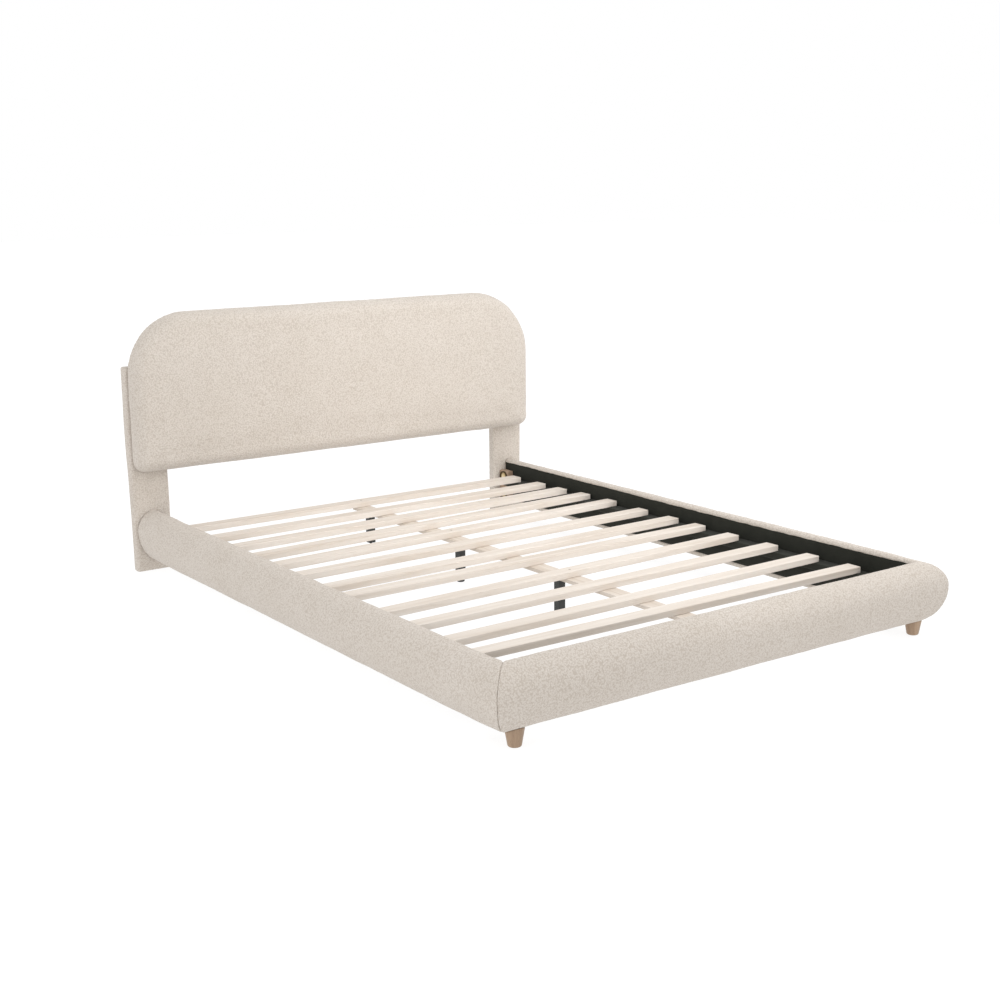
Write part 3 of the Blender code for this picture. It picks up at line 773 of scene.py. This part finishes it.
def headboard():
    """The headboard's padding: rolled edges, a slightly crowned front and a back drawn in to its core."""
    front = PANEL_BACK - PANEL_THICKNESS
    rings = [panel_outline(0.003, PANEL_BACK), panel_outline(-0.001, PANEL_BACK - 0.004)]
    for angle in np.radians(np.linspace(0, 90, 9)):
        inset = PANEL_ROLL * (1 - math.cos(angle))
        rings.append(panel_outline(inset, front + PANEL_CROWN + PANEL_ROLL * (1 - math.sin(angle))))
    panel = loft("headboard_cover", rings, "boucle")
    remesh = panel.modifiers.new("even mesh", "REMESH")
    remesh.mode = "VOXEL"
    remesh.voxel_size = PANEL_VOXEL
    apply_modifiers(panel)
    points = points_of(panel)
    edge_x = np.clip((PANEL_HALF_WIDTH - np.abs(points[:, 0])) / CROWN_RUN_X, 0, 1)
    edge_z = np.clip(np.minimum(PANEL_TOP - points[:, 2], points[:, 2] - PANEL_BOTTOM) / CROWN_RUN_Z, 0, 1)
    crown = np.sin(edge_x * math.pi / 2) * np.sin(edge_z * math.pi / 2)
    forward = np.clip((PANEL_BACK - 0.02 - points[:, 1]) / 0.03, 0, 1)
    points[:, 1] -= PANEL_CROWN * crown * forward
    points[:, 0] += RIGHT_FULLNESS * np.clip(points[:, 0] / PANEL_HALF_WIDTH, 0, 1) ** 4
    set_points(panel, points)
    held = (points[:, 1] > PANEL_BACK - 0.012).astype(float)
    inflate(panel, held, cap=0.005)
    subdivide(panel)
    points = points_of(panel)
    back = np.clip((PANEL_BACK - 0.002 - points[:, 1]) / 0.01, 0, 1)
    roughen(panel, keep=back, seed=5)
    return belongs(panel, "boucle", "headboard_cushion")


# How much a post's cover bellies outwards, and the height up to which this grows
POST_PLUMP = 0.007
POST_PLUMP_RUN = 0.45
POST_EDGE = 0.006


def post_cover(side_name, side):
    """A post wrapped in boucle: softened edges, a closed top and stepped holes for its bolts."""
    x0 = HALF_WIDTH - POST_WIDTH
    edge = 0.008
    corners = []
    for cx, cy, first in (
        (HALF_WIDTH - edge, POST_FRONT + edge, -90),
        (HALF_WIDTH - edge, HALF_LENGTH - edge, 0),
        (x0 + edge, HALF_LENGTH - edge, 90),
        (x0 + edge, POST_FRONT + edge, 180),
    ):
        corners.append(arc((cx, cy), (edge, edge), first, first + 90, 6))
    outline = np.concatenate(corners)
    outline = evenly(np.vstack([outline, outline[:1]]), 0.0075)[:-1]
    middle = outline.mean(0)
    heights = np.concatenate([[0, 0.001, 0.003, 0.006], np.arange(0.014, POST_HEIGHT - 0.010, 0.009)])
    heights = np.concatenate([heights, POST_HEIGHT - np.array([0.007, 0.0035, 0.0012, 0.0])])
    reach = np.abs(outline - middle).max(0)
    rings = []
    for z in heights:
        near = min(z, POST_HEIGHT - z)
        inset = POST_EDGE * (1 - math.sqrt(1 - max(0.0, 1 - near / POST_EDGE) ** 2))
        ring = middle + (outline - middle) * (reach - inset) / reach
        plump = POST_PLUMP * min(1.0, z / POST_PLUMP_RUN) ** 2
        x = ring[:, 0] + plump * np.clip((ring[:, 0] - middle[0]) / reach[0], 0, 1) ** 2
        rings.append(np.stack([side * x, ring[:, 1], np.full(len(ring), z)], 1))
    post = loft(f"headboard_post_{side_name}_cover", rings, "boucle")
    subdivide(post)
    points = points_of(post)
    above_floor = np.clip(np.minimum(points[:, 2], 0.02) / 0.02, 0, 1)
    on_front = np.clip((points[:, 1] - POST_FRONT - 0.001) / 0.004, 0.25, 1)
    roughen(post, keep=above_floor * on_front, lumps=0.0006, seed=41 + side)
    places = [(PANEL_BOLT_X, z) for z in PANEL_BOLT_ZS] + [(RAIL_BOLT_X, z) for z in RAIL_BOLT_ZS]
    for x, z in places:
        bore(post, side * x, z)
    return belongs(post, "boucle", f"headboard_post_{side_name}")


def turned(name, profile, place, look, steps=48, axis=(0, 0, 1)):
    """A turned solid: profile holds (distance along the axis, radius) from one end to the other."""
    turn = Vector(axis).to_track_quat("Z", "Y").to_matrix()
    angles = np.linspace(0, 2 * math.pi, steps, endpoint=False)
    round_unit = np.stack([np.cos(angles), np.sin(angles), np.zeros(steps)], 1)
    rings = []
    for distance, radius in profile:
        ring = round_unit * radius
        ring[:, 2] = distance
        rings.append(ring @ np.array(turn).T + np.array(place))
    return loft(name, rings, look)


def bore(post, x, z):
    """A bolt hole through the post, with a recess for the head in its back."""
    clear = BOLT_RADIUS + GAP
    overrun = 0.010
    back = HALF_LENGTH + overrun
    seat = RECESS_DEPTH + overrun
    through = POST_THICKNESS + 3 * overrun
    profile = ((0, RECESS_RADIUS), (seat, RECESS_RADIUS), (seat, clear), (through, clear))
    cutter = turned("bore", profile, (x, back, z), "boucle", 32, (0, -1, 0))
    hole = post.modifiers.new("bore", "BOOLEAN")
    hole.operation = "DIFFERENCE"
    hole.solver = "EXACT"
    hole.object = cutter
    apply_modifiers(post)
    bpy.data.objects.remove(cutter)


def hex_bolt(name, x, z, reach):
    """A bolt whose round head has a hexagonal socket; its head sits in the recess in the post's back."""
    steps = 24
    angles = np.linspace(0, 2 * math.pi, steps, endpoint=False)
    round_unit = np.stack([np.cos(angles), np.sin(angles)], 1)
    from_flat = (angles + math.pi / 6) % (math.pi / 3) - math.pi / 6
    hex_unit = round_unit / np.cos(from_flat)[:, None]
    top = HALF_LENGTH - RECESS_DEPTH + GAP + BOLT_HEAD_HEIGHT
    socket = 0.0026
    shapes = (
        (hex_unit * socket, 0.0024),
        (hex_unit * socket, 0.0003),
        (hex_unit * (socket + 0.0004), 0.0),
        (round_unit * (BOLT_HEAD_RADIUS - 0.0016), 0.0),
        (round_unit * (BOLT_HEAD_RADIUS - 0.0006), 0.0004),
        (round_unit * BOLT_HEAD_RADIUS, 0.0014),
        (round_unit * BOLT_HEAD_RADIUS, BOLT_HEAD_HEIGHT),
        (round_unit * BOLT_RADIUS, BOLT_HEAD_HEIGHT),
        (round_unit * BOLT_RADIUS, BOLT_HEAD_HEIGHT + reach),
    )
    rings = [np.stack([x + f[:, 0], np.full(steps, top - depth), z + f[:, 1]], 1) for f, depth in shapes]
    bolt = loft(name + "_with_socket", rings, "steel")
    bolt.data.set_sharp_from_angle(angle=math.radians(30))
    return belongs(bolt, "steel", name)


def post_bolts(side_name, side):
    """The four bolts in one post: two into the headboard's core and two into the side rail's nuts."""
    for part, x, heights, reach in (
        ("panel", PANEL_BOLT_X, PANEL_BOLT_ZS, PANEL_BOLT_REACH),
        ("rail", RAIL_BOLT_X, RAIL_BOLT_ZS, RAIL_BOLT_REACH),
    ):
        for level, z in zip(("upper", "lower"), heights):
            hex_bolt(f"{part}_bolt_{side_name}_{level}", side * x, z, reach)


STAPLE_SPACING = 0.055


def back_cloth():
    """Black cloth over the headboard's back, stapled round its edge and a little slack between the posts."""
    insets = (CLOTH_INSET, 0.019, 0.028, 0.042, 0.060, 0.085, 0.115, 0.145, 0.175, 0.205, 0.235, 0.262)
    count = 320
    rings = []
    for inset in insets:
        ring = panel_outline(inset, CLOTH_BACK)
        closed = np.vstack([ring, ring[:1]])
        steps = np.linalg.norm(np.diff(closed, axis=0), axis=1)
        along = np.concatenate([[0], np.cumsum(steps)]) / steps.sum()
        places = np.linspace(0, 1, count, endpoint=False)
        rings.append(np.stack([np.interp(places, along, closed[:, k]) for k in range(3)], 1))
    outer = np.array(rings)
    flat = outer.reshape(-1, 3)
    between = np.clip((0.69 - np.abs(flat[:, 0])) / 0.10, 0, 1)
    inner_share = np.repeat(np.clip((np.array(insets) - 0.02) / 0.05, 0, 1), count)
    flat[:, 1] += 0.0012 * between * inner_share * (0.5 + 0.5 * smooth_noise(flat, 0.16, 8))
    flat[:, 1] += 0.0005 * between * inner_share * smooth_noise(flat * np.array((1, 1, 0.35)), 0.035, 4)
    inner = outer - np.array((0, CLOTH_THICKNESS, 0))
    cloth = loft("headboard_back_lining", np.concatenate([outer[::-1], inner]), "lining")
    belongs(cloth, "lining", "headboard_back_cloth")
    return staples("headboard_staples", outer[2], (0, 1, 0), STAPLE_SPACING)


def slab(name, front, back, look):
    """A closed thin solid between two matching grids of points, such as a sheet of cloth."""
    rows, columns = front.shape[:2]
    size = rows * columns
    near = np.arange(size).reshape(rows, columns)
    far = near + size

    def quads(*corners):
        return np.stack(corners, -1).reshape(-1, 4).tolist()

    faces = quads(near[:-1, :-1], near[1:, :-1], near[1:, 1:], near[:-1, 1:])
    faces += quads(far[:-1, :-1], far[:-1, 1:], far[1:, 1:], far[1:, :-1])
    border = [*near[0], *near[1:, -1], *near[-1, -2::-1], *near[-2:0:-1, 0]]
    for i, j in zip(border, border[1:] + border[:1]):
        faces.append((i, j, j + size, i + size))
    thing = add_mesh(name, np.concatenate([front.reshape(-1, 3), back.reshape(-1, 3)]), faces, look)
    face_outwards(thing)
    return thing


def rail_lining(name, node, along, place, tops, seed):
    """Black cloth between a rail's fabric lips. place(along, u, z) gives a point on the rail."""
    rows = 18
    share = np.linspace(0, 1, rows)
    low = LIP_LOWER_EDGE + GAP
    run = np.repeat(np.asarray(along)[:, None], rows, 1)
    z = low + (np.asarray(tops)[:, None] - GAP - low) * share[None, :]
    flat = np.stack([run.ravel(), z.ravel() * 0.5, np.zeros(run.size)], 1)
    slack = np.sin(np.pi * share)[None, :] ** 0.7
    ripple = 0.00035 * smooth_noise(flat, 0.045, seed).reshape(run.shape)
    ripple += 0.00025 * smooth_noise(flat, 0.014, seed + 5).reshape(run.shape)
    u = LINING_FACE + (ripple + 0.0001) * slack
    front = place(run, u, z)
    back = place(run, np.full_like(u, LINING_FACE + LINING_THICKNESS), z)
    cloth = slab(name, front, back, "lining")
    return belongs(cloth, "lining", node)


LINING_SPACING = 0.0075


def linings():
    """The lining cloth on the inner faces of the side rails and the foot rail."""
    for side_name, side in SIDES:
        def on_side(y, u, z, side=side):
            return np.stack([side * (WELL_HALF_WIDTH + u), y, z], -1)

        along = np.arange(WELL_FOOT - 0.001, POST_FRONT - GAP, LINING_SPACING)
        name = f"side_rail_{side_name}_lining"
        rail_lining(name + "_cloth", name, along, on_side, upper_lip(along), 60 + side)

    def on_foot(x, u, z):
        return np.stack([x, WELL_FOOT - u, z], -1)

    along = np.arange(-WELL_HALF_WIDTH - 0.0010, WELL_HALF_WIDTH + 0.0010, LINING_SPACING)
    tops = np.full(len(along), LIP_UPPER_EDGE)
    rail_lining("foot_rail_lining_cloth", "foot_rail_lining", along, on_foot, tops, 70)


def staples(name, line, out, spacing):
    """Wire staples round a closed line of points, each a crown with its two legs bent into the cloth."""
    places = evenly(np.vstack([line, line[:1]]), spacing)[1:-1]
    out = np.array(out, float)
    radius, half, legs = 0.00045, 0.005, 0.0009
    points, faces = [], []
    for before, middle, after in zip(places, places[1:], places[2:]):
        way = (after - before) / np.linalg.norm(after - before)
        across = np.cross(way, out)
        lift = radius * 0.6
        spine = [
            middle - way * half - out * legs,
            middle - way * half + out * lift * 0.4,
            middle - way * (half - 0.0007) + out * lift,
            middle + way * (half - 0.0007) + out * lift,
            middle + way * half + out * lift * 0.4,
            middle + way * half - out * legs,
        ]
        tilts = [way, way * 0.7 + out * 0.7, out, out, out * 0.7 - way * 0.7, -way]
        first = len(points)
        for centre, tilt in zip(spine, tilts):
            for k in range(6):
                angle = math.pi * k / 3
                points.append(centre + radius * (across * math.cos(angle) + tilt * math.sin(angle)))
        for r in range(len(spine) - 1):
            for k in range(6):
                a, b = first + 6 * r + k, first + 6 * r + (k + 1) % 6
                faces.append((a, b, b + 6, a + 6))
        faces.append([first + k for k in range(5, -1, -1)])
        faces.append([first + 6 * (len(spine) - 1) + k for k in range(6)])
    wires = add_mesh(name, points, faces, "staple")
    face_outwards(wires)
    return belongs(wires, "steel")


def ledger(side_name, side):
    """A slat ledger wrapped in black cloth, with the wrap's soft edges and small pulls."""
    face = WELL_HALF_WIDTH + LINING_FACE - GAP
    low, high = SLAT_BOTTOM - GAP - LEDGER_HEIGHT, SLAT_BOTTOM - GAP
    edge = 0.0035
    corners = []
    for cx, cz, first in (
        (face - edge, low + edge, -90),
        (face - edge, high - edge, 0),
        (face - LEDGER_DEPTH + edge, high - edge, 90),
        (face - LEDGER_DEPTH + edge, low + edge, 180),
    ):
        corners.append(arc((cx, cz), (edge, edge), first, first + 90, 5))
    outline = np.concatenate(corners)
    outline = evenly(np.vstack([outline, outline[:1]]), 0.0045)[:-1]
    middle = outline.mean(0)
    ends = np.array([0.0, 0.0012, 0.004])
    between = np.arange(LEDGER_FOOT_Y + 0.012, LEDGER_HEAD_Y - 0.010, 0.010)
    stations = np.concatenate([LEDGER_FOOT_Y + ends, between, LEDGER_HEAD_Y - ends[::-1]])
    rings = []
    for y in stations:
        near_end = min(y - LEDGER_FOOT_Y, LEDGER_HEAD_Y - y)
        ring = middle + (outline - middle) * (1 - 0.05 * max(0.0, 1 - near_end / 0.004))
        rings.append(np.stack([side * ring[:, 0], np.full(len(ring), y), ring[:, 1]], 1))
    bar = loft(f"side_rail_{side_name}_ledger_wrap", rings, "lining")
    points, normals = points_of(bar), normals_of(bar)
    pull = 0.0004 * (0.5 + 0.5 * smooth_noise(points * np.array((1, 0.6, 1)), 0.03, 15))
    set_points(bar, points - normals * pull[:, None])
    return belongs(bar, "lining", f"side_rail_{side_name}_ledger")


# Below the first height a foot keeps its plain taper; the second is its gap to the padding
FOOT_LOWER_PART = 0.012
FOOT_CLEARANCE = 0.0006


def wooden_foot(side_name, side):
    """A turned, tapered foot with a rounded lower edge; its top is cut to follow the padding's underside."""
    edge = 0.006
    straight = FOOT_BOTTOM_RADIUS - edge
    profile = [(0.0, straight)]
    for angle in np.radians(np.linspace(15, 90, 6)):
        profile.append((edge * (1 - math.cos(angle)), straight + edge * math.sin(angle)))
    for share in np.linspace(0.1, 1, 10):
        z = edge + (FOOT_HEIGHT - 0.0010 - edge) * share
        profile.append((z, FOOT_BOTTOM_RADIUS + (FOOT_TOP_RADIUS - FOOT_BOTTOM_RADIUS) * share))
    profile.append((FOOT_HEIGHT, FOOT_TOP_RADIUS - 0.0008))
    foot = turned(f"turned_foot_{side_name}", profile, (side * FOOT_X, FOOT_Y, 0), "foot_wood", 64)
    points = points_of(foot)
    x, y, z = points.T
    share = np.clip((z - FOOT_LOWER_PART) / (FOOT_HEIGHT - FOOT_LOWER_PART), 0, 1)
    stretch = share * (underside(x, y) - FOOT_CLEARANCE - FOOT_HEIGHT)
    spread = 1 + stretch * (FOOT_TOP_RADIUS - FOOT_BOTTOM_RADIUS) / (FOOT_HEIGHT * FOOT_TOP_RADIUS)
    middle = np.array((side * FOOT_X, FOOT_Y))
    points[:, :2] = middle + (points[:, :2] - middle) * spread[:, None]
    points[:, 2] = z + stretch
    set_points(foot, points)
    foot.data.set_sharp_from_angle(angle=math.radians(50))
    return belongs(foot, "foot_wood", f"wooden_foot_{side_name}")


# Which slats are screwed to the beam, counted from the headboard, and how far each stands off its even place
SCREWED_SLATS = ((0, 0.0065), (4, 0.033), (8, 0.013))


def slat_screws():
    """Countersunk cross-head screws that hold three slats to the centre beam."""
    steps = 24
    angles = np.linspace(0, 2 * math.pi, steps, endpoint=False)
    round_unit = np.stack([np.cos(angles), np.sin(angles)], 1)
    arms = np.where(np.abs(np.sin(2 * angles)) < 0.55, 1.0, 0.35)[:, None]
    for number, (index, nudge) in enumerate(SCREWED_SLATS, start=1):
        place = np.array((0.003, SLAT_FIRST_Y - index * SLAT_PITCH + nudge, SLAT_TOP))
        shapes = (
            (round_unit * 0.0003, -0.0010),
            (round_unit * 0.0016 * arms, -0.0009),
            (round_unit * 0.0022 * arms, 0.0001),
            (round_unit * 0.0030, 0.0004),
            (round_unit * 0.0040, 0.0002),
            (round_unit * 0.0042, -0.0003),
            (round_unit * 0.0020, -0.0024),
        )
        rings = [np.column_stack([flat, np.full(steps, z)]) + place for flat, z in shapes]
        belongs(loft(f"slat_screw_{number}", rings, "screw"), "steel")


# ------------------------------------------------------------ carried-over


def dress_cad():
    """Gives each CAD node that stays in view its material."""
    slots = {entry["node"]: entry["material_slot"] for entry in frame["record"]["subparts"]}
    for node, thing in frame["nodes"].items():
        look = "beam_wood" if node == "centre_beam" else slots[node]
        thing.data.materials.clear()
        thing.data.materials.append(LOOKS[look])


# ----------------------------------------------------------------- studio


FLOOR_SIDE = 60.0


def softbox(name, place, target, side, energy, spread=180):
    """A square area light of the given side, at a place and turned towards a target."""
    light = bpy.data.lights.new(name, "AREA")
    light.shape = "SQUARE"
    light.size = side
    light.energy = energy
    light.spread = math.radians(spread)
    lamp = bpy.data.objects.new(name, light)
    lamp.location = place
    lamp.rotation_euler = (Vector(target) - Vector(place)).to_track_quat("-Z", "Y").to_euler()
    bpy.context.scene.collection.objects.link(lamp)


def studio():
    """A pale glowing floor, an even white surround and three soft lights."""
    n = Nodes("studio_floor")
    mottle = n.ramp(n.noise(n.place, 3, 2), (0.0, (0.15, 0.15, 0.15)), (1.0, (0.17, 0.17, 0.17)))
    LOOKS["floor"] = n.finish(mottle, None, 0.95, Emission_Color=(1, 1, 1, 1), Emission_Strength=0.87)
    half = FLOOR_SIDE / 2
    corners = [(-half, -half, 0), (half, -half, 0), (half, half, 0), (-half, half, 0)]
    add_mesh("studio_floor", corners, [(0, 1, 2, 3)], "floor")

    world = bpy.data.worlds.new("studio")
    world.use_nodes = True
    sky = world.node_tree.nodes["Background"]
    sky.inputs["Color"].default_value = (1.0, 1.0, 1.0, 1.0)
    sky.inputs["Strength"].default_value = 1.0
    bpy.context.scene.world = world

    softbox("top_softbox", (1.3, -1.0, 2.7), (0.4, -0.2, 0.2), 2.2, 26)
    softbox("side_softbox", (-4.0, -1.5, 2.5), (-0.3, 0, 0.3), 2.5, 20)
    softbox("headboard_softbox", (0.6, -1.6, 1.15), (0.15, 1.0, 0.50), 1.2, 2.7, 60)


def camera():
    """The camera, turned by its heading from +Y towards +X, its pitch downwards and its roll."""
    heading, pitch, roll = CAMERA_HEADING, CAMERA_PITCH, CAMERA_ROLL
    flat_ahead = Vector((math.sin(heading), math.cos(heading), 0))
    ahead = flat_ahead * math.cos(pitch) - Vector((0, 0, math.sin(pitch)))
    level = Vector((math.cos(heading), -math.sin(heading), 0))
    lifted = level.cross(ahead)
    right = level * math.cos(roll) + lifted * math.sin(roll)
    up = lifted * math.cos(roll) - level * math.sin(roll)
    lens = bpy.data.cameras.new("camera")
    lens.lens = CAMERA_LENS
    lens.sensor_width = CAMERA_SENSOR
    viewer = bpy.data.objects.new("camera", lens)
    turn = Matrix((right, up, -ahead)).transposed().to_4x4()
    viewer.matrix_world = Matrix.Translation(CAMERA_PLACE) @ turn
    bpy.context.scene.collection.objects.link(viewer)
    bpy.context.scene.camera = viewer


dress_cad()
for side_name, side in SIDES:
    side_pad(side_name, side)
    post_cover(side_name, side)
    ledger(side_name, side)
    wooden_foot(side_name, side)
    post_bolts(side_name, side)
foot_pad()
headboard()
back_cloth()
linings()
slat_screws()
studio()
camera()
bpy.context.scene.view_settings.view_transform = "Standard"
